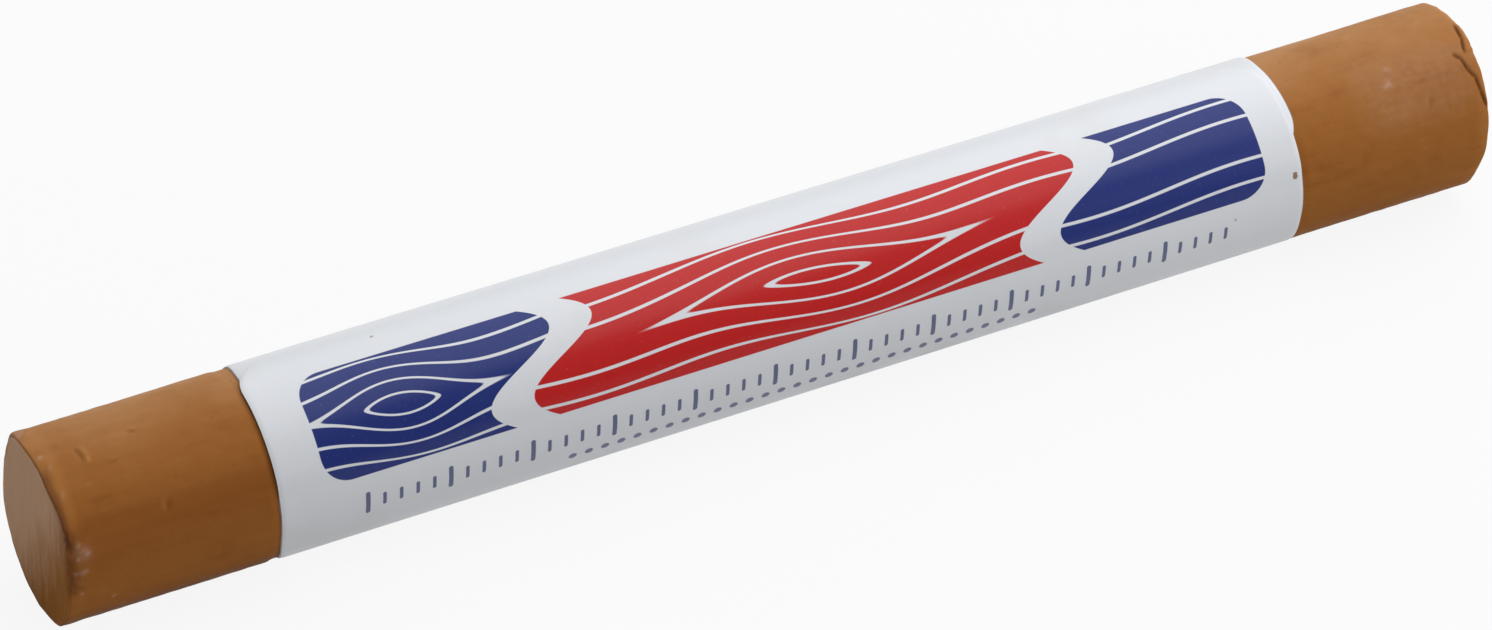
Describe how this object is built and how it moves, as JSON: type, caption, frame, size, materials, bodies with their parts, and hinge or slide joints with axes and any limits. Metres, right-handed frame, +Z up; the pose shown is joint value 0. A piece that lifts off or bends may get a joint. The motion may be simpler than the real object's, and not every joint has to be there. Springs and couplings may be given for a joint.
{
  "type": "furniture repair wax stick",
  "caption": "Round stick of brown filler wax for furniture repair, chopped to length, with a lapped paper label wound round its middle and bare wax at both ends.",
  "frame": {"origin": "middle of the stick's length, on the surface that it lies on", "axes": "+X along the stick towards its far end, +Y towards its back, +Z up"},
  "size_m": [0.0898, 0.011, 0.0111],
  "materials": {
    "wax": "soft filler wax, satin, scuffed",
    "adhesive": "clear pressure-sensitive adhesive, yellowed",
    "paper": "coated white label paper, printed"
  },
  "bodies": {
    "root": {"wax_stick": "wax", "label_adhesive": "adhesive", "paper_label": "paper"}
  },
  "joints": []
}
